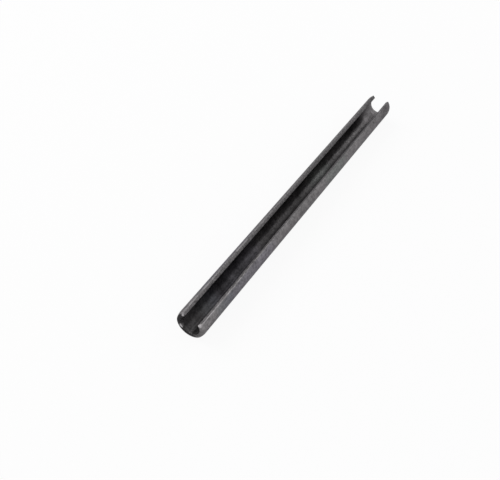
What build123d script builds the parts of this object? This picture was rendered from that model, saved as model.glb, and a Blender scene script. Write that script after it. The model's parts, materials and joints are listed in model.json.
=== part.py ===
"""Slotted spring pin, lying on its closed side with the slot upward.

One strip of spring steel is rolled into an open sleeve.  The sleeve is larger than the hole it is
driven into, so it closes a little there and grips.  Both ends lead in with a crowned taper.

Frame: millimetres, +X along the pin, +Z up through the middle of the slot.  The origin is on the
line the pin rests on, at mid-length, so the sleeve's axis runs one outer radius above it.
"""
from build123d import *
import os
from math import cos, radians, sin

# ---- driving dimensions ----------------------------------------------------------------------
free_diameter = 6.5     # outside diameter before the pin is driven in
wall = 1.0              # thickness of the strip
length = 90.0           # overall length, both end faces included
slot_angle = 88.0       # opening between the two lips, seen from the axis, in degrees

taper_length = 1.2      # lead-in at each end, measured along the pin
taper_depth = 0.22      # how far the lead-in has come inward where it meets the end face

lip_round = 0.08        # eased long corners of both lips, outside and in the bore
rim_round = 0.06        # broken edge all round each end face

# ---- derived dimensions ----------------------------------------------------------------------
outer_radius = free_diameter / 2
bore_radius = outer_radius - wall
half_length = length / 2
rim_radius = outer_radius - taper_depth     # outside radius of each end face
taper_start = half_length - taper_length    # where the plain cylinder gives way to the lead-in
rolled_angle = 360.0 - slot_angle           # the arc that the strip does fill

# The sleeve's axis, one outer radius above the surface it rests on.
pin_axis = Axis((0, 0, outer_radius), (1, 0, 0))

# The plane of one lip's cut face.  It holds the axis, and its Y direction points from the axis out
# through the lip at half the slot angle from straight up, on the -Y side.
lip_lean = radians(slot_angle / 2)
lip_outward = Vector(0, -sin(lip_lean), cos(lip_lean))
lip_plane = Plane(
    origin=(0, 0, outer_radius),
    x_dir=(1, 0, 0),
    z_dir=Vector(1, 0, 0).cross(lip_outward),
)

# ---- the rolled sleeve -----------------------------------------------------------------------
with BuildPart() as spring_roll_pin:
    # Half of the wall's profile along the pin: bore below, cylinder above, crowned taper at the end.
    with BuildSketch(lip_plane):
        with BuildLine():
            Line((0, bore_radius), (half_length, bore_radius))
            Line((half_length, bore_radius), (half_length, rim_radius))
            Line((0, outer_radius), (taper_start, outer_radius))
            TangentArc((taper_start, outer_radius), (half_length, rim_radius), tangent=(1, 0))
            Line((0, bore_radius), (0, outer_radius))
        make_face()
        mirror(about=Plane.YZ)
    revolve(axis=pin_axis, revolution_arc=rolled_angle)

    # The strip's two cut faces and its two end faces are the only flat ones.
    end_faces = spring_roll_pin.faces().filter_by(Plane.YZ)
    lip_faces = spring_roll_pin.faces().filter_by(GeomType.PLANE) - end_faces

    # Shearing and tumbling leave no sharp corner: first the lips' long corners, then the end rims.
    fillet(lip_faces.edges() - end_faces.edges(), radius=lip_round)
    fillet(spring_roll_pin.faces().filter_by(Plane.YZ).edges(), radius=rim_round)
os.makedirs("parts", exist_ok=True)
spring_roll_pin.part.label = "spring_roll_pin"
export_step(spring_roll_pin.part, "parts/spring_roll_pin.step")
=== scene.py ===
"""Slotted spring pin: one strip of blackened spring steel, rolled into an open sleeve.

The pin lies on its closed side along X, with its slot upward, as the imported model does.  A Geometry
Nodes tree takes a flat strip, thins its ends to a crowned lead-in and rolls it about the pin's axis.
All lengths are in metres.
"""
import json
from math import cos, pi, radians, sin, tau

import bpy
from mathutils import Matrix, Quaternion, Vector


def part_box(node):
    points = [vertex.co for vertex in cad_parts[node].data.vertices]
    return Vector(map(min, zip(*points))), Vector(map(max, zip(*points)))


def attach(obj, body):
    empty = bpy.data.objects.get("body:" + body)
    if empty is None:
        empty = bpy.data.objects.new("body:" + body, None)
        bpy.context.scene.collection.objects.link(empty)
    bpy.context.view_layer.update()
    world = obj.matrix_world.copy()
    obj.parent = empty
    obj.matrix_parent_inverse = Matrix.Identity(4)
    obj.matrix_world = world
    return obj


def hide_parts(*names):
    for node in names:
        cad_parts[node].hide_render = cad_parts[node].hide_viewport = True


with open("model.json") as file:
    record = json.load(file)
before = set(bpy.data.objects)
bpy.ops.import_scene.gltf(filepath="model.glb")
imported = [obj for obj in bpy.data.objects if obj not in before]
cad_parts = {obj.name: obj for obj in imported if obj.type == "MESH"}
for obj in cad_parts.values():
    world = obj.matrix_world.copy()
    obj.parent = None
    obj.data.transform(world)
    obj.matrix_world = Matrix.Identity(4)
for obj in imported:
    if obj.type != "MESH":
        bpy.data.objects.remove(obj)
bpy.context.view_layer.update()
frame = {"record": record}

bl_info = {
    "name": "Spring roll pin",
    "version": (1, 0, 0),
    "blender": (4, 5, 0),
    "location": "3D View > Sidebar > Spring pin",
    "description": "Rolls a slotted spring pin from a flat strip and lays it on a pale studio floor",
    "category": "Add Mesh",
}

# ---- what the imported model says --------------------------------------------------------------
MM = 0.001
NODE = "spring_roll_pin"
BODY = "root"
MOUNTS = {mount["name"]: mount for mount in frame["record"]["mounts"]}
OUTSIDE = MOUNTS["outside"]["dims"]
BORE = MOUNTS["bore"]["dims"]
LOW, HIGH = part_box(NODE)

PIN_LENGTH = HIGH.x - LOW.x
PIN_RADIUS = OUTSIDE["r_mm"] * MM
STRIP_THICKNESS = (OUTSIDE["r_mm"] - BORE["r_mm"]) * MM
LEAD_IN_LENGTH = (PIN_LENGTH - OUTSIDE["length_mm"] * MM) / 2
RIM_ROUND = (PIN_LENGTH - BORE["length_mm"] * MM) / 2


def length_property(name, text, default, least=0.0):
    """A distance in metres that the sidebar shows in scene units."""
    return bpy.props.FloatProperty(
        name=name, description=text, default=default, min=least, precision=6, unit="LENGTH"
    )


def colour_property(name, text, default):
    return bpy.props.FloatVectorProperty(
        name=name, description=text, default=default, size=3, min=0.0, max=1.0, subtype="COLOR"
    )


def share_property(name, text, default):
    return bpy.props.FloatProperty(
        name=name, description=text, default=default, min=0.0, max=1.0, subtype="FACTOR"
    )


class SleeveSizes(bpy.types.PropertyGroup):
    """Sizes of the rolled sleeve."""

    length: length_property("Length", "Overall length of the pin", PIN_LENGTH)
    radius: length_property("Outer radius", "Radius of the free pin, before it is driven", PIN_RADIUS)
    wall: length_property("Wall", "Thickness of the strip", STRIP_THICKNESS)
    slot: bpy.props.FloatProperty(
        name="Slot angle", description="Opening between the two lips, seen from the axis",
        default=radians(88.0), min=0.0, max=pi, subtype="ANGLE",
    )
    lead_length: length_property(
        "Lead-in length", "Length of the crowned taper at each end", LEAD_IN_LENGTH
    )
    lead_depth: length_property("Lead-in depth", "How far the taper comes inward", 0.22 * MM)
    lip_round: length_property("Lip round", "Radius of the lips' long corners", 0.08 * MM)
    rim_round: length_property("Rim round", "Radius of the broken edge round each end", RIM_ROUND)
    lip_wave: length_property("Lip wave", "How far the sheared lips wander inward", 0.035 * MM)
    roll_marks: length_property(
        "Roll marks", "Depth of the lengthwise flats left by rolling", 0.010 * MM
    )
    twist: bpy.props.FloatProperty(
        name="Twist", description="How far the slot turns about the axis from one end to the other",
        default=radians(5.5), subtype="ANGLE",
    )
    twist_rest: length_property(
        "Twist rest", "Place along the pin where the slot points straight up", 8.0 * MM, least=-1.0
    )
    cutback: length_property("Cutback", "How far one lip is sheared back near the -X end", 0.17 * MM)
    cutback_reach: length_property(
        "Cutback reach", "How far along the pin the lip is sheared back", 18.0 * MM
    )
    rings: bpy.props.IntProperty(
        name="Rings", description="Rings of points along the pin", default=170, min=20
    )
    lead_rings: bpy.props.IntProperty(
        name="Lead-in rings", description="How many of the rings' steps each lead-in takes",
        default=10, min=2,
    )
    steps: bpy.props.IntProperty(
        name="Steps", description="Points around the rolled strip, from lip to lip", default=97, min=9
    )
    seed: bpy.props.IntProperty(
        name="Seed", description="Picks the wander of the lips and marks", default=3
    )


class SteelFinish(bpy.types.PropertyGroup):
    """Colours and wear of the blackened steel, and the light and shade painted into it."""

    oxide_dark: colour_property(
        "Oxide, dark", "Deepest colour of the blackening", (0.060, 0.0575, 0.0587)
    )
    oxide_light: colour_property(
        "Oxide, light", "Palest colour of the blackening", (0.300, 0.287, 0.293)
    )
    sheared_steel: colour_property(
        "Sheared steel", "Colour of the lips' cut faces", (0.178, 0.170, 0.174)
    )
    # Partly real wear, partly painted highlight: the lips' outer corners and the -X rim spots are painted
    # near white.
    worn_steel_and_highlight: colour_property(
        "Worn steel", "Colour of the corners rubbed bright", (0.50, 0.48, 0.49)
    )
    # Painted shade: the end faces are painted near black where they turn away from the light.
    painted_end_shade: colour_property(
        "Soot", "Colour of the blackening left on the end faces", (0.020, 0.0192, 0.0196)
    )
    edge_tint: colour_property(
        "Edge tint", "How bright the steel is where it is seen edge on", (0.35, 0.34, 0.35)
    )
    # Painted shade: the oxide's colour is darkened inside the bore, where shade falls.
    bore_painted_shade: share_property(
        "Bore shade", "How much of its paleness the oxide keeps inside the bore", 0.48
    )
    # Painted light: the bore is painted paler toward its -X mouth, where light comes in.
    near_mouth_painted_light: share_property(
        "Mouth shade", "How much of it the oxide keeps at the bore's -X end", 0.75
    )
    # Painted light: at its +X mouth the bore is painted paler than outside, where light falls in through
    # the open end.
    far_mouth_painted_light: bpy.props.FloatProperty(
        name="Far mouth shade", description="How pale the oxide is in the bore's +X end, beside outside",
        default=1.55, min=0.0,
    )
    metal: share_property("Metal", "How metallic the blackened surface is", 0.80)
    lip_metal: share_property("Lip metal", "How metallic the sheared lips are", 0.20)
    rough_least: share_property("Least roughness", "Roughness where the surface is smoothest", 0.28)
    rough_most: share_property("Most roughness", "Roughness where the surface is dullest", 0.42)
    # Partly rubbing, partly a painted highlight along the lips' outer corners.
    lip_wear_and_highlight: share_property("Lip wear", "How bright the lips' outer corners are rubbed", 0.75)
    far_wear_and_highlight: share_property("Far wear", "Share of the lip wear that reaches the far end", 0.05)
    # Painted shade: the cut faces are darker beside the bore, where shade falls.
    inner_lips_painted_shade: share_property(
        "Inner lips", "Share of their paleness that the lips keep beside the bore", 0.70
    )
    mouth_rough: share_property("Mouth roughness", "Roughness of the steel at the +X end", 0.75)
    # Partly less handling, partly painted shade: the lips are painted darker toward the far end.
    far_lips_less_worn_and_lit: share_property(
        "Far lips", "Share of their paleness that the lips keep at the far end", 0.75
    )
    # Painted shade: how dark the end faces are painted.
    end_painted_shade_share: share_property("End soot", "How far the end faces keep their deepest blackening", 0.9)


class StageSettings(bpy.types.PropertyGroup):
    """Floor, lights and camera."""

    floor_colour: colour_property("Floor", "Colour of the studio floor", (0.86, 0.86, 0.87))
    floor_white: share_property(
        "Floor white", "How far the floor round the pin shows plain white to the camera", 0.92
    )
    floor_size: length_property("Floor size", "Side of the square floor", 3.0)
    low_light: bpy.props.FloatProperty(
        name="Low light", description="Strength of the room's light near the horizon", default=1.0
    )
    high_light: bpy.props.FloatProperty(
        name="High light", description="Strength of the room's light from overhead", default=0.35
    )
    key_power: bpy.props.FloatProperty(
        name="Key power", description="Power of the large soft lamp", default=1.6, unit="POWER"
    )
    back_power: bpy.props.FloatProperty(
        name="Back power", description="Power of the soft lamp beyond the far end",
        default=0.8, unit="POWER",
    )
    lens: bpy.props.FloatProperty(name="Lens", description="Focal length in millimetres", default=53.88)
    camera_place: bpy.props.FloatVectorProperty(
        name="Camera", description="Where the camera stands", size=3, subtype="TRANSLATION",
        default=(-119.60 * MM, -40.56 * MM, 122.36 * MM),
    )
    heading: bpy.props.FloatProperty(
        name="Heading", description="Direction of view, turned from +X towards +Y",
        default=radians(22.990), subtype="ANGLE",
    )
    dip: bpy.props.FloatProperty(
        name="Dip", description="How far the view looks down", default=radians(47.322), subtype="ANGLE"
    )
    bank: bpy.props.FloatProperty(
        name="Bank", description="Turn of the camera about its own line of sight",
        default=radians(11.241), subtype="ANGLE",
    )


# ---- node building ---------------------------------------------------------------------------
COLUMN = 190


def add_node(tree, kind, inputs=None, **settings):
    """A new node with its settings made and its inputs linked or set, by socket name or number."""
    node = tree.nodes.new(kind)
    node.location = (COLUMN * len(tree.nodes), 0)
    for name, value in settings.items():
        setattr(node, name, value)
    for key, value in (inputs or {}).items():
        socket = node.inputs[key]
        if isinstance(value, bpy.types.NodeSocket):
            tree.links.new(value, socket)
        else:
            socket.default_value = value
    return node


def calc(tree, operation, *values):
    """The result of one Math node."""
    return add_node(tree, "ShaderNodeMath", dict(enumerate(values)), operation=operation).outputs[0]


def remap(tree, value, low, high, to_low=0.0, to_high=1.0, smooth=False):
    """value, moved from the span low..high to to_low..to_high and held at its ends."""
    kind = "SMOOTHSTEP" if smooth else "LINEAR"
    inputs = {"Value": value, "From Min": low, "From Max": high, "To Min": to_low, "To Max": to_high}
    return add_node(tree, "ShaderNodeMapRange", inputs, interpolation_type=kind).outputs["Result"]


def combine(tree, x, y, z):
    return add_node(tree, "ShaderNodeCombineXYZ", {0: x, 1: y, 2: z}).outputs[0]


def split(tree, vector):
    return add_node(tree, "ShaderNodeSeparateXYZ", {0: vector}).outputs


def noise(tree, place, scale, detail=2.0, roughness=0.5):
    inputs = {"Vector": place, "Scale": scale, "Detail": detail, "Roughness": roughness}
    return add_node(tree, "ShaderNodeTexNoise", inputs).outputs[0]


def empty_tree(owner):
    """The node tree of a material or a world, switched on and emptied."""
    owner.use_nodes = True
    owner.node_tree.nodes.clear()
    return owner.node_tree


def new_object(name, data):
    """A new object that holds data and stands in the scene."""
    made = bpy.data.objects.new(name, data)
    bpy.context.scene.collection.objects.link(made)
    return made


# ---- the rolled sleeve -----------------------------------------------------------------------
FLAT_PLACE = "flat_place"           # where each point lay on the strip before it was rolled
BEVEL_WEIGHT = "bevel_weight_edge"  # read by the Bevel modifier
NEAR = 1e-4                         # two shares this close are the same edge of the strip
ROUNDING_FACETS = 4                 # facets across each rounded corner
SLANT_IN_BORE = 0.35                # how much of the cutback the lip's inner corner takes
CUTBACK_FADE = 0.3                  # share of its reach over which the cutback fades out
LIP_WANDER_SCALE = 90.0             # waves of the sheared lips, per metre
MARK_SCALE = 420.0                  # flats round the pin, per metre of its outside
MARK_DRIFT = 0.02                   # how fast the flats change along the pin, beside how fast round it
SEED_STEP = 7.31                    # how far apart the patterns of two seeds lie

NUMBER, WHOLE = "NodeSocketFloat", "NodeSocketInt"
SLEEVE_INPUTS = (
    ("Length", NUMBER, "Overall length of the pin"),
    ("Outer radius", NUMBER, "Radius of the free pin"),
    ("Wall", NUMBER, "Thickness of the strip"),
    ("Slot angle", NUMBER, "Opening between the lips, in radians"),
    ("Lead-in length", NUMBER, "Length of the crowned taper at each end"),
    ("Lead-in depth", NUMBER, "How far the taper comes inward"),
    ("Lip wave", NUMBER, "How far the sheared lips wander inward"),
    ("Roll marks", NUMBER, "Depth of the lengthwise flats"),
    ("Twist", NUMBER, "Turn of the slot from one end to the other, in radians"),
    ("Twist rest", NUMBER, "Place along the pin where the slot points straight up"),
    ("Cutback", NUMBER, "How far the -Y lip is sheared back near the -X end"),
    ("Cutback reach", NUMBER, "How far along the pin it is sheared back"),
    ("Rim weight", NUMBER, "Rim round as a share of the lip round"),
    ("Rings", WHOLE, "Rings of points along the pin"),
    ("Lead-in rings", WHOLE, "Steps of rings that each lead-in takes"),
    ("Steps", WHOLE, "Points around the strip"),
    ("Seed", WHOLE, "Picks the wander of the lips and marks"),
    ("Steel", "NodeSocketMaterial", "Finish of the sleeve"),
)


def add_inputs(tree, rows):
    """The tree's named inputs, from (name, socket type, description) rows; returns their identifiers."""
    found = {}
    for name, kind, text in rows:
        socket = tree.interface.new_socket(name, description=text, in_out="INPUT", socket_type=kind)
        found[name] = socket.identifier
    return found


def sleeve_tree():
    """A Geometry Nodes tree that cuts a flat strip, thins its ends and rolls it round the pin's axis."""
    tree = bpy.data.node_groups.new("Rolled sleeve", "GeometryNodeTree")
    tree.is_modifier = True
    sockets = add_inputs(tree, SLEEVE_INPUTS)
    tree.interface.new_socket("Geometry", in_out="OUTPUT", socket_type="NodeSocketGeometry")
    given = add_node(tree, "NodeGroupInput").outputs
    length, radius, wall = given["Length"], given["Outer radius"], given["Wall"]

    # The flat strip, as wide as the wall's middle line is long when it is rolled.
    rolled = calc(tree, "SUBTRACT", tau, given["Slot angle"])
    middle_radius = calc(tree, "MULTIPLY_ADD", wall, -0.5, radius)
    width = calc(tree, "MULTIPLY", rolled, middle_radius)
    strip = add_node(tree, "GeometryNodeMeshCube", {
        "Size": combine(tree, length, width, wall),
        "Vertices X": given["Rings"],
        "Vertices Y": given["Steps"],
        "Vertices Z": 2,
    }).outputs["Mesh"]
    flat = split(tree, add_node(tree, "GeometryNodeInputPosition").outputs[0])
    along = calc(tree, "DIVIDE", flat[0], length)       # -0.5 to 0.5
    across = calc(tree, "DIVIDE", flat[1], width)       # -0.5 to 0.5
    through = calc(tree, "DIVIDE", flat[2], wall)       # -0.5 in the bore to 0.5 outside
    strip = mark_edges(tree, strip, along, across, through, given["Rim weight"])
    x = spread_rings(tree, along, given)
    seed = calc(tree, "MULTIPLY", given["Seed"], SEED_STEP)

    # The lips draw inward from the strip's nominal edges, and its points move with them.
    inward = lip_retreat(tree, x, calc(tree, "SIGN", across), through, seed, given)
    lost = calc(tree, "MULTIPLY", calc(tree, "DIVIDE", inward, width), 2.0)
    angle = calc(tree, "MULTIPLY", across, calc(tree, "SUBTRACT", 1.0, lost))
    angle = calc(tree, "MULTIPLY", angle, calc(tree, "MULTIPLY", rolled, -1.0))

    # The strip is rolled a little out of true, so the slot turns slowly about the axis.
    turned = calc(tree, "DIVIDE", calc(tree, "SUBTRACT", given["Twist rest"], x), length)
    angle = calc(tree, "MULTIPLY_ADD", turned, given["Twist"], angle)

    thickness = thinned_wall(tree, x, angle, seed, given)
    bore = calc(tree, "SUBTRACT", radius, wall)
    ring_radius = calc(tree, "MULTIPLY_ADD", calc(tree, "ADD", through, 0.5), thickness, bore)
    rolled_place = combine(
        tree, x,
        calc(tree, "MULTIPLY", ring_radius, calc(tree, "SINE", angle)),
        calc(tree, "SUBTRACT", radius, calc(tree, "MULTIPLY", ring_radius, calc(tree, "COSINE", angle))),
    )
    strip = add_node(tree, "GeometryNodeStoreNamedAttribute", {
        "Geometry": strip, "Name": FLAT_PLACE, "Value": combine(tree, x, flat[1], flat[2]),
    }, data_type="FLOAT_VECTOR", domain="POINT").outputs[0]
    strip = add_node(tree, "GeometryNodeSetPosition", {
        "Geometry": strip, "Position": rolled_place,
    }).outputs[0]
    strip = add_node(tree, "GeometryNodeSetShadeSmooth", {"Geometry": strip}).outputs[0]
    strip = add_node(tree, "GeometryNodeRealizeInstances", {"Geometry": strip}).outputs[0]
    strip = add_node(tree, "GeometryNodeSetMaterial", {
        "Geometry": strip, "Material": given["Steel"],
    }).outputs[0]
    add_node(tree, "NodeGroupOutput", {"Geometry": strip})
    return tree, sockets


def mark_edges(tree, strip, along, across, through, rim_weight):
    """Stores how far each sharp edge of the strip is rounded: 1 on the lips, less round the ends."""
    at_end = calc(tree, "COMPARE", calc(tree, "ABSOLUTE", along), 0.5, NEAR)
    at_lip = calc(tree, "COMPARE", calc(tree, "ABSOLUTE", across), 0.5, NEAR)
    at_face = calc(tree, "COMPARE", calc(tree, "ABSOLUTE", through), 0.5, NEAR)
    lip_edge = calc(tree, "MULTIPLY", at_lip, at_face)
    rim_edge = calc(tree, "MULTIPLY", at_end, calc(tree, "MAXIMUM", at_lip, at_face))
    weight = calc(tree, "MAXIMUM", lip_edge, calc(tree, "MULTIPLY", rim_edge, rim_weight))
    return add_node(tree, "GeometryNodeStoreNamedAttribute", {
        "Geometry": strip, "Name": BEVEL_WEIGHT, "Value": weight,
    }, data_type="FLOAT", domain="EDGE").outputs[0]


def lip_retreat(tree, x, side, through, seed, given):
    """How far a lip stands in from the strip's nominal edge; each wanders by itself along the pin."""
    wander = noise(tree, combine(tree, x, side, seed), LIP_WANDER_SCALE, detail=3.0)
    inward = calc(tree, "MULTIPLY", wander, given["Lip wave"])
    # One lip is sheared at a slant, further back at its outer corner.
    slant = remap(tree, through, -0.5, 0.5, SLANT_IN_BORE, 1.0)
    return calc(tree, "ADD", inward, calc(tree, "MULTIPLY", sheared_back(tree, x, side, given), slant))


def sheared_back(tree, x, side, given):
    """How far the -Y lip, which is the strip's +Y edge, stands back near the -X end."""
    near_end = calc(tree, "MULTIPLY", given["Length"], -0.5)
    reached = calc(tree, "ADD", near_end, given["Cutback reach"])
    start = calc(tree, "MULTIPLY_ADD", given["Cutback reach"], -CUTBACK_FADE, reached)
    share = remap(tree, x, start, reached, 1.0, 0.0, smooth=True)
    one_lip = calc(tree, "MAXIMUM", side, 0.0)
    return calc(tree, "MULTIPLY", calc(tree, "MULTIPLY", share, one_lip), given["Cutback"])


def spread_rings(tree, along, given):
    """Where each ring stands, in metres from the pin's middle: closer together in the lead-ins."""
    length, lead = given["Length"], given["Lead-in length"]
    share = calc(tree, "ADD", along, 0.5)
    ring_steps = calc(tree, "SUBTRACT", given["Rings"], 1.0)
    lead_share = calc(tree, "DIVIDE", given["Lead-in rings"], ring_steps)
    far_share = calc(tree, "SUBTRACT", 1.0, lead_share)
    plain = calc(tree, "MULTIPLY_ADD", lead, -2.0, length)
    near_part = remap(tree, share, 0.0, lead_share, 0.0, lead)
    plain_part = remap(tree, share, lead_share, far_share, 0.0, plain)
    far_part = remap(tree, share, far_share, 1.0, 0.0, lead)
    reached = calc(tree, "ADD", near_part, calc(tree, "ADD", plain_part, far_part))
    return calc(tree, "MULTIPLY_ADD", length, -0.5, reached)


def thinned_wall(tree, x, angle, seed, given):
    """The wall's thickness, thinner in the crowned lead-ins and in the flats that rolling leaves."""
    lead = given["Lead-in length"]
    half_plain = calc(tree, "MULTIPLY_ADD", given["Length"], 0.5, calc(tree, "MULTIPLY", lead, -1.0))
    past = calc(tree, "MAXIMUM", calc(tree, "SUBTRACT", calc(tree, "ABSOLUTE", x), half_plain), 0.0)
    drop = crown_drop(tree, past, lead, given["Lead-in depth"])
    # The flats run the whole length and drift slowly round the pin.
    drift = calc(tree, "MULTIPLY", x, MARK_DRIFT)
    round_pin = calc(tree, "MULTIPLY", angle, given["Outer radius"])
    marks = noise(tree, combine(tree, drift, round_pin, seed), MARK_SCALE)
    marks = calc(tree, "MULTIPLY", marks, given["Roll marks"])
    return calc(tree, "SUBTRACT", given["Wall"], calc(tree, "ADD", drop, marks))


def crown_drop(tree, past, lead, depth):
    """How far the crown has come inward: an arc tangent to the cylinder, at depth where the pin ends."""
    squares = calc(tree, "ADD", calc(tree, "MULTIPLY", lead, lead), calc(tree, "MULTIPLY", depth, depth))
    crown = calc(tree, "DIVIDE", squares, calc(tree, "MULTIPLY", depth, 2.0))
    reach = calc(tree, "SUBTRACT", calc(tree, "MULTIPLY", crown, crown), calc(tree, "MULTIPLY", past, past))
    return calc(tree, "SUBTRACT", crown, calc(tree, "SQRT", reach))


def make_sleeve(sizes, steel):
    """The finished sleeve: the tree's strip, with its corners rounded, as one plain closed mesh."""
    sleeve = new_object("rolled_sleeve", bpy.data.meshes.new("rolled_sleeve"))
    tree, sockets = sleeve_tree()
    roll = sleeve.modifiers.new("Roll the strip", "NODES")
    roll.node_group = tree
    for name, value in {
        "Length": sizes.length,
        "Outer radius": sizes.radius,
        "Wall": sizes.wall,
        "Slot angle": sizes.slot,
        "Lead-in length": sizes.lead_length,
        "Lead-in depth": sizes.lead_depth,
        "Lip wave": sizes.lip_wave,
        "Roll marks": sizes.roll_marks,
        "Twist": sizes.twist,
        "Twist rest": sizes.twist_rest,
        "Cutback": sizes.cutback,
        "Cutback reach": sizes.cutback_reach,
        "Rim weight": sizes.rim_round / sizes.lip_round,
        "Rings": sizes.rings,
        "Lead-in rings": sizes.lead_rings,
        "Steps": sizes.steps,
        "Seed": sizes.seed,
        "Steel": steel,
    }.items():
        roll[sockets[name]] = value
    rounding = sleeve.modifiers.new("Round the corners", "BEVEL")
    rounding.limit_method = "WEIGHT"
    rounding.width = sizes.lip_round
    rounding.segments = ROUNDING_FACETS
    rounding.harden_normals = True

    graph = bpy.context.evaluated_depsgraph_get()
    solid = bpy.data.meshes.new_from_object(sleeve.evaluated_get(graph), depsgraph=graph)
    solid.name = "rolled_sleeve"
    sleeve.modifiers.clear()
    sleeve.data = solid
    return sleeve


# ---- blackened steel -------------------------------------------------------------------------
# How fine each pattern is, in features per metre.
GRAIN_SCALE = 5200.0
CLOUD_SCALE = 130.0
MOTTLE_SCALE = 650.0
SPECK_SCALE = 2100.0
PIT_SCALE = 2600.0
GRAIN_STRETCH = 0.03            # how fast the grain changes along the pin, beside how fast across it

# How strongly the clouds, the mottle and the specks show in the oxide, and between which of its
# values a pattern takes hold elsewhere.
SPECKLE = (0.5, 0.7, 1.3)
CLOUD_SPAN = (0.36, 0.64)
SPECK_SPAN = (0.35, 0.65)
DULL_SPAN = (0.35, 0.65)
WORN_HIGHLIGHT_SPAN = (0.43, 0.58)
BORE_CLOUDS = (0.72, 1.28)      # how far the clouds darken and lighten the bore
LIP_SPECKLE = (0.52, 1.48)      # how far the specks darken and lighten the sheared lips
WORN_HIGHLIGHT_PATCHES = (0.2, 1.0)       # shares of the rubbing and painted highlight that the mottle leaves

# Relief of the surface: how wide the pits are, as a share of their spacing, and how high each
# pattern stands.
PIT_WIDTH = 0.22
PIT_RELIEF = 0.35
GRAIN_RELIEF = 0.5
SPECK_RELIEF = 0.4
BUMP_STRENGTH = 0.55
BUMP_DEPTH = 0.012 * MM

# Distances from an edge or an end: where each finish is full and where it has faded out.
LIP_BAND = (0.02 * MM, 0.10 * MM)
CORNER_BAND = (0.06 * MM, 0.22 * MM)
END_BAND = (0.01 * MM, 0.06 * MM)
NEAR_MOUTH = (2.0 * MM, 14.0 * MM)
FAR_MOUTH = (4.0 * MM, 8.5 * MM)
ROUGH_MOUTH = (3.5 * MM, 9.0 * MM)
PAST_ROUGH_MOUTH = 0.2          # less than the least roughness, so that it has no effect there
CORNER_DEPTH = 0.16 * MM        # how far under the outside the middle of a rubbed corner and its painted highlight lies
BORE_LAYER = 1 / 3              # how far in from the wall's middle the bore's painted shade is full, by the wall

# A paler band beside the bore's lowest line, in the -X half; its ends are shares of the pin's length.
PALE_BAND_STRENGTH = 1.3                 # how much paler it makes the bore
PALE_BAND_LINE = 0.48 * MM           # how far its middle lies from the line, toward the strip's +Y edge
PALE_BAND_WIDTHS = (0.15 * MM, 0.60 * MM)
PALE_BAND_ENDS = (-0.33, -0.08)      # from the pin's middle, where it starts to thin and where it ends

HANDLED_AND_LIT_TO = 0.4                # where the handled part, painted as more brightly lit, fades out, as a share of half the length
END_SHADE_BAND = (1.2 * MM, 2.4 * MM)  # across the strip, toward its +Y edge, where the end faces' painted shade thins
END_SHADE_THINNED = 0.3              # share of the painted end shade that is left beyond that band

# Films of oil that tint the oxide: where each lies along the pin, how far it is full, how far it
# reaches, and its tint.
OIL_FILMS = (
    (-27.0 * MM, 7.0 * MM, 12.5 * MM, (0.925, 0.925, 1.0)),
    (-37.0 * MM, 1.5 * MM, 4.0 * MM, (0.94, 0.985, 1.0)),
    (12.5 * MM, 3.0 * MM, 7.0 * MM, (0.93, 1.0, 0.965)),
)
# Painted highlights on the -X end's rim, as bright spots: where each lies, as shares of half the length,
# half the width and half the wall, and its size.
PAINTED_HIGHLIGHT_SPOTS = (
    (-1.0, -1.0, 0.2, 0.45 * MM),
    (-1.0, -0.37, -1.0, 0.80 * MM),
    (-1.0, 1.0, 0.1, 0.75 * MM),
)
SPOT_CORE = 0.4                 # share of a spot's size that is brightest
SPOT_HIGHLIGHT = 0.85                # how bright the painted highlight is there


def mix_colours(tree, share, low, high):
    """A colour between low and high; a fixed one is given as its red, green and blue."""
    ends = {}
    for name, colour in (("A", low), ("B", high)):
        ends[name] = colour if isinstance(colour, bpy.types.NodeSocket) else (*colour, 1.0)
    return add_node(tree, "ShaderNodeMix", {"Factor": share, **ends}, data_type="RGBA").outputs["Result"]


def scaled(tree, colour, share):
    """colour, darker where share is below 1 and paler where it is above."""
    inputs = {0: colour, "Scale": share}
    return add_node(tree, "ShaderNodeVectorMath", inputs, operation="SCALE").outputs[0]


def tint(tree, share, colour, factor):
    """colour, multiplied by factor where share is 1."""
    return add_node(tree, "ShaderNodeMix", {
        "Factor": share, "A": colour, "B": (*factor, 1.0),
    }, data_type="RGBA", blend_type="MULTIPLY").outputs["Result"]


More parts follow.
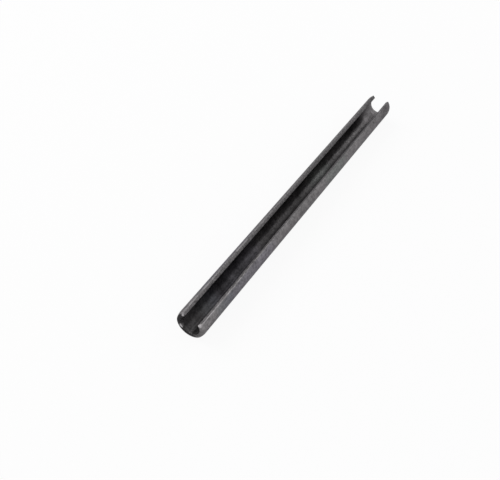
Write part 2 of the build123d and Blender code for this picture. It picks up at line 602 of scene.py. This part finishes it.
def blackened_steel(sizes, finish):
    """Satin blackened spring steel: mottled oxide with fine pits, sheared lips and rubbed corners, with
    painted shade in the bore and on the end faces, painted light at the bore's mouths and painted
    highlights on the corners and the -X rim.
    """
    steel = bpy.data.materials.new("blackened_spring_steel")
    tree = empty_tree(steel)
    place = add_node(
        tree, "ShaderNodeAttribute", attribute_name=FLAT_PLACE, attribute_type="GEOMETRY"
    ).outputs["Vector"]
    body = add_node(tree, "ShaderNodeTexCoord").outputs["Object"]

    stretched = {"Vector": place, "Scale": (GRAIN_STRETCH, 1.0, 1.0)}
    grain_place = add_node(tree, "ShaderNodeMapping", stretched).outputs[0]
    grain = noise(tree, grain_place, GRAIN_SCALE, detail=4.0, roughness=0.6)
    clouds = noise(tree, body, CLOUD_SCALE)
    mottle = noise(tree, body, MOTTLE_SCALE, detail=3.0, roughness=0.6)
    specks = noise(tree, body, SPECK_SCALE, detail=3.0, roughness=0.6)

    from_far = calc(tree, "SUBTRACT", sizes.length / 2, split(tree, place)[0])
    colour = oxide_colour(tree, sizes, finish, place, from_far, (clouds, mottle, specks))
    edges = strip_edges(tree, sizes, place)
    colour = wear(tree, sizes, finish, place, colour, edges, mottle, specks)

    metal = remap(tree, edges[0], 0.0, 1.0, finish.metal, finish.lip_metal)
    dullness = calc(tree, "MULTIPLY_ADD", grain, 0.5, calc(tree, "MULTIPLY", mottle, 0.5))
    rough = remap(tree, dullness, *DULL_SPAN, finish.rough_least, finish.rough_most)
    mouth = remap(tree, from_far, *ROUGH_MOUTH, finish.mouth_rough, PAST_ROUGH_MOUTH)
    rough = calc(tree, "MAXIMUM", rough, mouth)

    shader = add_node(tree, "ShaderNodeBsdfPrincipled", {
        "Base Color": colour, "Metallic": metal, "Roughness": rough,
        "Normal": fine_relief(tree, body, grain, specks),
        "Specular Tint": (*finish.edge_tint, 1.0),
    })
    add_node(tree, "ShaderNodeOutputMaterial", {"Surface": shader.outputs[0]})
    return steel


def fine_relief(tree, body, grain, specks):
    """The bump of fine pits, lengthwise grain and specks."""
    pits = add_node(tree, "ShaderNodeTexVoronoi", {"Vector": body, "Scale": PIT_SCALE}).outputs["Distance"]
    relief = calc(tree, "MULTIPLY", remap(tree, pits, 0.0, PIT_WIDTH, smooth=True), PIT_RELIEF)
    relief = calc(tree, "MULTIPLY_ADD", grain, GRAIN_RELIEF, relief)
    relief = calc(tree, "MULTIPLY_ADD", specks, SPECK_RELIEF, relief)
    inputs = {"Strength": BUMP_STRENGTH, "Distance": BUMP_DEPTH, "Height": relief}
    return add_node(tree, "ShaderNodeBump", inputs).outputs[0]


def oxide_colour(tree, sizes, finish, place, from_far, noises):
    """The blackening: clouds, mottle and specks, painted shade in the bore with painted light toward its
    mouths, a paler band in the bore, and faint films of oil.
    """
    tone = -0.5 * (sum(SPECKLE) - 1.0)
    for weight, pattern in zip(SPECKLE, noises):
        tone = calc(tree, "MULTIPLY_ADD", pattern, weight, tone)
    colour = mix_colours(tree, tone, finish.oxide_dark, finish.oxide_light)

    x, y, z = split(tree, place)
    from_near = calc(tree, "SUBTRACT", sizes.length, from_far)
    # Painted shade in the bore, turning to painted light toward both open ends.
    near_shade = remap(tree, from_near, *NEAR_MOUTH, finish.near_mouth_painted_light, finish.bore_painted_shade, smooth=True)
    far_shade = remap(tree, from_far, *FAR_MOUTH, finish.far_mouth_painted_light, finish.bore_painted_shade, smooth=True)
    shade = calc(tree, "MAXIMUM", near_shade, far_shade)
    shade = calc(tree, "MULTIPLY", shade, remap(tree, noises[0], *CLOUD_SPAN, *BORE_CLOUDS))
    # A paler band beside the bore's lowest line, in the -X half.
    shade = calc(tree, "MULTIPLY_ADD", shade, pale_band_share(tree, sizes, x, y), shade)
    # The painted shade holds only on the bore's side of the wall.
    inside = remap(tree, z, -sizes.wall * BORE_LAYER, 0.0, 1.0, 0.0)
    shade = calc(tree, "ADD", 1.0, calc(tree, "MULTIPLY", inside, calc(tree, "SUBTRACT", shade, 1.0)))
    colour = scaled(tree, colour, shade)

    for centre, full, reach, film in OIL_FILMS:
        away = calc(tree, "ABSOLUTE", calc(tree, "SUBTRACT", x, centre))
        colour = tint(tree, remap(tree, away, full, reach, 1.0, 0.0, smooth=True), colour, film)
    return colour


def pale_band_share(tree, sizes, x, y):
    """How much paler the bore's shade is in a band beside its lowest line."""
    from_line = calc(tree, "ABSOLUTE", calc(tree, "SUBTRACT", y, PALE_BAND_LINE))
    pale_band = remap(tree, from_line, *PALE_BAND_WIDTHS, PALE_BAND_STRENGTH, 0.0, smooth=True)
    thins, ends = (share * sizes.length for share in PALE_BAND_ENDS)
    return calc(tree, "MULTIPLY", pale_band, remap(tree, x, thins, ends, 1.0, 0.0))


def wear(tree, sizes, finish, place, colour, edges, mottle, specks):
    """colour, with the sheared lips, the end faces' painted shade and the rubbed corners with painted
    highlights laid over it.
    """
    lip, corner, end = edges
    half_length = sizes.length / 2
    x, y, z = split(tree, place)
    # The -X end was handled most and is also painted as more brightly lit; both fade out past the pin's
    # middle.
    handled_and_lit = remap(tree, x, -half_length, half_length * HANDLED_AND_LIT_TO, 1.0, 0.0, smooth=True)
    far_steel = [channel * finish.far_lips_less_worn_and_lit for channel in finish.sheared_steel]
    sheared = mix_colours(tree, handled_and_lit, far_steel, finish.sheared_steel)
    # The cut faces are painted darker toward the bore, as shade.
    paler = remap(tree, z, -sizes.wall / 2, sizes.wall / 2, finish.inner_lips_painted_shade, 1.0)
    paler = calc(tree, "MULTIPLY", paler, remap(tree, specks, *SPECK_SPAN, *LIP_SPECKLE))
    colour = mix_colours(tree, lip, colour, scaled(tree, sheared, paler))
    # Painted shade on the end faces, thinned toward the pin's -Y side.
    painted_end_shade = remap(tree, y, *END_SHADE_BAND, finish.end_painted_shade_share, finish.end_painted_shade_share * END_SHADE_THINNED)
    colour = mix_colours(tree, calc(tree, "MULTIPLY", end, painted_end_shade), colour, finish.painted_end_shade)
    # The lips' outer corners: rubbed steel, plus a painted highlight where the rounded corners catch the
    # light.
    worn_and_highlight = calc(tree, "MULTIPLY", corner, remap(tree, handled_and_lit, 0.0, 1.0, finish.far_wear_and_highlight, 1.0))
    worn_and_highlight = calc(tree, "MULTIPLY", worn_and_highlight, remap(tree, mottle, *WORN_HIGHLIGHT_SPAN, *WORN_HIGHLIGHT_PATCHES))
    worn_and_highlight = calc(tree, "MULTIPLY", worn_and_highlight, finish.lip_wear_and_highlight)
    # Painted highlights: bright spots on the -X end's rim.
    for spot_x, spot_y, spot_z, size in PAINTED_HIGHLIGHT_SPOTS:
        centre = (spot_x * half_length, spot_y * strip_half_width(sizes), spot_z * sizes.wall / 2)
        ends = {0: place, 1: centre}
        away = add_node(tree, "ShaderNodeVectorMath", ends, operation="DISTANCE").outputs["Value"]
        spot = remap(tree, away, SPOT_CORE * size, size, SPOT_HIGHLIGHT, 0.0, smooth=True)
        worn_and_highlight = calc(tree, "MAXIMUM", worn_and_highlight, spot)
    return mix_colours(tree, worn_and_highlight, colour, finish.worn_steel_and_highlight)


def strip_half_width(sizes):
    """Half the strip's width, measured along the middle of the wall."""
    return (tau - sizes.slot) * (sizes.radius - sizes.wall / 2) / 2


def strip_edges(tree, sizes, place):
    """Shares that are 1 on the sheared lips, on the lips' outer corners and on the end faces."""
    x, y, z = split(tree, place)
    from_lip = calc(tree, "SUBTRACT", strip_half_width(sizes), calc(tree, "ABSOLUTE", y))
    from_face = calc(tree, "SUBTRACT", sizes.wall / 2 - CORNER_DEPTH, z)
    from_end = calc(tree, "SUBTRACT", sizes.length / 2, calc(tree, "ABSOLUTE", x))
    lip_square = calc(tree, "MULTIPLY", from_lip, from_lip)
    face_square = calc(tree, "MULTIPLY", from_face, from_face)
    from_corner = calc(tree, "SQRT", calc(tree, "ADD", lip_square, face_square))
    lip = remap(tree, from_lip, *LIP_BAND, 1.0, 0.0, smooth=True)
    corner = remap(tree, from_corner, *CORNER_BAND, 1.0, 0.0, smooth=True)
    end = remap(tree, from_end, *END_BAND, 1.0, 0.0, smooth=True)
    return lip, corner, end


# ---- floor, lights and camera ----------------------------------------------------------------
FLOOR_FADE = (0.12, 0.60)       # metres from the pin over which the floor turns wholly white
ROOM_FALL = (0.3, 0.9)          # how steeply upward the room's light starts to fall and has fallen
WHITE = (1.0, 1.0, 1.0, 1.0)
# Where the two lamps stand, and how wide and high each one is, in metres.
KEY_PLACE, KEY_SIZE = (-0.10, 0.45, 0.40), (0.45, 0.35)
BACK_PLACE, BACK_SIZE = (0.60, -0.10, 0.28), (0.30, 0.22)
SENSOR_WIDTH = 36.0             # in millimetres
NEAREST_SEEN = 0.005            # in metres; anything closer to the camera is not shown


def floor_finish(settings):
    """A pale floor that the camera and reflections see nearly white, so its soft shadows are faint."""
    paper = bpy.data.materials.new("pale_floor")
    tree = empty_tree(paper)
    path = add_node(tree, "ShaderNodeLightPath").outputs
    mirrored = calc(tree, "MAXIMUM", path["Is Glossy Ray"], path["Is Transmission Ray"])
    seen = calc(tree, "MAXIMUM", path["Is Camera Ray"], mirrored)
    matt = add_node(tree, "ShaderNodeBsdfDiffuse", {"Color": (*settings.floor_colour, 1.0)})
    white = add_node(tree, "ShaderNodeEmission", {"Color": WHITE, "Strength": 1.0})
    # Away from the pin the floor turns wholly white, so that it meets the room without a line.
    place = add_node(tree, "ShaderNodeTexCoord").outputs["Object"]
    away = add_node(tree, "ShaderNodeVectorMath", {0: place}, operation="LENGTH").outputs["Value"]
    white_share = remap(tree, away, *FLOOR_FADE, settings.floor_white, 1.0, smooth=True)
    both = add_node(tree, "ShaderNodeMixShader", {
        "Fac": calc(tree, "MULTIPLY", seen, white_share), 1: matt.outputs[0], 2: white.outputs[0],
    })
    add_node(tree, "ShaderNodeOutputMaterial", {"Surface": both.outputs[0]})
    return paper


def make_floor(settings):
    half = settings.floor_size / 2
    corners = [(-half, -half, 0), (half, -half, 0), (half, half, 0), (-half, half, 0)]
    sheet = bpy.data.meshes.new("floor")
    sheet.from_pydata(corners, [], [(0, 1, 2, 3)])
    floor = new_object("floor", sheet)
    floor.data.materials.append(floor_finish(settings))


def make_room(settings):
    """Soft light from all round, weaker from overhead, and white to the camera where the floor ends."""
    world = bpy.data.worlds.new("studio")
    bpy.context.scene.world = world
    tree = empty_tree(world)
    height = split(tree, add_node(tree, "ShaderNodeTexCoord").outputs["Generated"])[2]
    room = remap(tree, height, *ROOM_FALL, settings.low_light, settings.high_light, smooth=True)
    path = add_node(tree, "ShaderNodeLightPath").outputs
    strength = remap(tree, path["Is Camera Ray"], 0.0, 1.0, room, 1.0)
    back = add_node(tree, "ShaderNodeBackground", {"Color": WHITE, "Strength": strength})
    add_node(tree, "ShaderNodeOutputWorld", {"Surface": back.outputs[0]})


def make_lamp(name, place, size, power):
    """A soft rectangular lamp that points at the pin's middle."""
    lamp = bpy.data.lights.new(name, "AREA")
    lamp.shape = "RECTANGLE"
    lamp.size, lamp.size_y = size
    lamp.energy = power
    holder = new_object(name, lamp)
    holder.location = place
    holder.rotation_mode = "QUATERNION"
    holder.rotation_quaternion = (-Vector(place)).to_track_quat("-Z", "Y")


def make_camera(settings):
    lens = bpy.data.cameras.new("camera")
    lens.lens = settings.lens
    lens.sensor_width = SENSOR_WIDTH
    lens.clip_start = NEAREST_SEEN
    camera = new_object("camera", lens)
    camera.location = settings.camera_place
    level = cos(settings.dip)
    ahead = Vector((level * cos(settings.heading), level * sin(settings.heading), -sin(settings.dip)))
    camera.rotation_mode = "QUATERNION"
    camera.rotation_quaternion = ahead.to_track_quat("-Z", "Y") @ Quaternion((0, 0, 1), settings.bank)
    bpy.context.scene.camera = camera


# ---- operators and panel ---------------------------------------------------------------------
class SPRINGPIN_OT_sleeve(bpy.types.Operator):
    """Roll the blackened sleeve from its flat strip"""

    bl_idname = "springpin.sleeve"
    bl_label = "Roll the sleeve"

    def execute(self, context):
        sizes = context.scene.springpin_sizes
        steel = blackened_steel(sizes, context.scene.springpin_finish)
        sleeve = make_sleeve(sizes, steel)
        if not sleeve.data.polygons:
            raise RuntimeError("the sleeve came out empty")
        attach(sleeve, BODY)
        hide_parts(NODE)
        return {"FINISHED"}


class SPRINGPIN_OT_stage(bpy.types.Operator):
    """Lay out the pale floor, the soft lights and the camera"""

    bl_idname = "springpin.stage"
    bl_label = "Set the stage"

    def execute(self, context):
        settings = context.scene.springpin_stage
        context.scene.view_settings.view_transform = "Standard"
        make_floor(settings)
        make_room(settings)
        make_lamp("key", KEY_PLACE, KEY_SIZE, settings.key_power)
        make_lamp("back", BACK_PLACE, BACK_SIZE, settings.back_power)
        make_camera(settings)
        return {"FINISHED"}


class SPRINGPIN_PT_panel(bpy.types.Panel):
    """Sizes, finish and stage of the spring pin"""

    bl_idname = "SPRINGPIN_PT_panel"
    bl_label = "Spring roll pin"
    bl_space_type = "VIEW_3D"
    bl_region_type = "UI"
    bl_category = "Spring pin"

    def draw(self, context):
        scene = context.scene
        for title, settings, operator in (
            ("Sleeve", scene.springpin_sizes, SPRINGPIN_OT_sleeve.bl_idname),
            ("Finish", scene.springpin_finish, None),
            ("Stage", scene.springpin_stage, SPRINGPIN_OT_stage.bl_idname),
        ):
            box = self.layout.box()
            box.label(text=title)
            for name in settings.__annotations__:
                box.prop(settings, name)
            if operator:
                box.operator(operator)


CLASSES = (
    SleeveSizes, SteelFinish, StageSettings,
    SPRINGPIN_OT_sleeve, SPRINGPIN_OT_stage, SPRINGPIN_PT_panel,
)


def register():
    for cls in CLASSES:
        bpy.utils.register_class(cls)
    bpy.types.Scene.springpin_sizes = bpy.props.PointerProperty(type=SleeveSizes)
    bpy.types.Scene.springpin_finish = bpy.props.PointerProperty(type=SteelFinish)
    bpy.types.Scene.springpin_stage = bpy.props.PointerProperty(type=StageSettings)


def unregister():
    del bpy.types.Scene.springpin_stage
    del bpy.types.Scene.springpin_finish
    del bpy.types.Scene.springpin_sizes
    for cls in reversed(CLASSES):
        bpy.utils.unregister_class(cls)


def main():
    register()
    bpy.ops.springpin.sleeve()
    bpy.ops.springpin.stage()


if __name__ == "__main__":
    main()
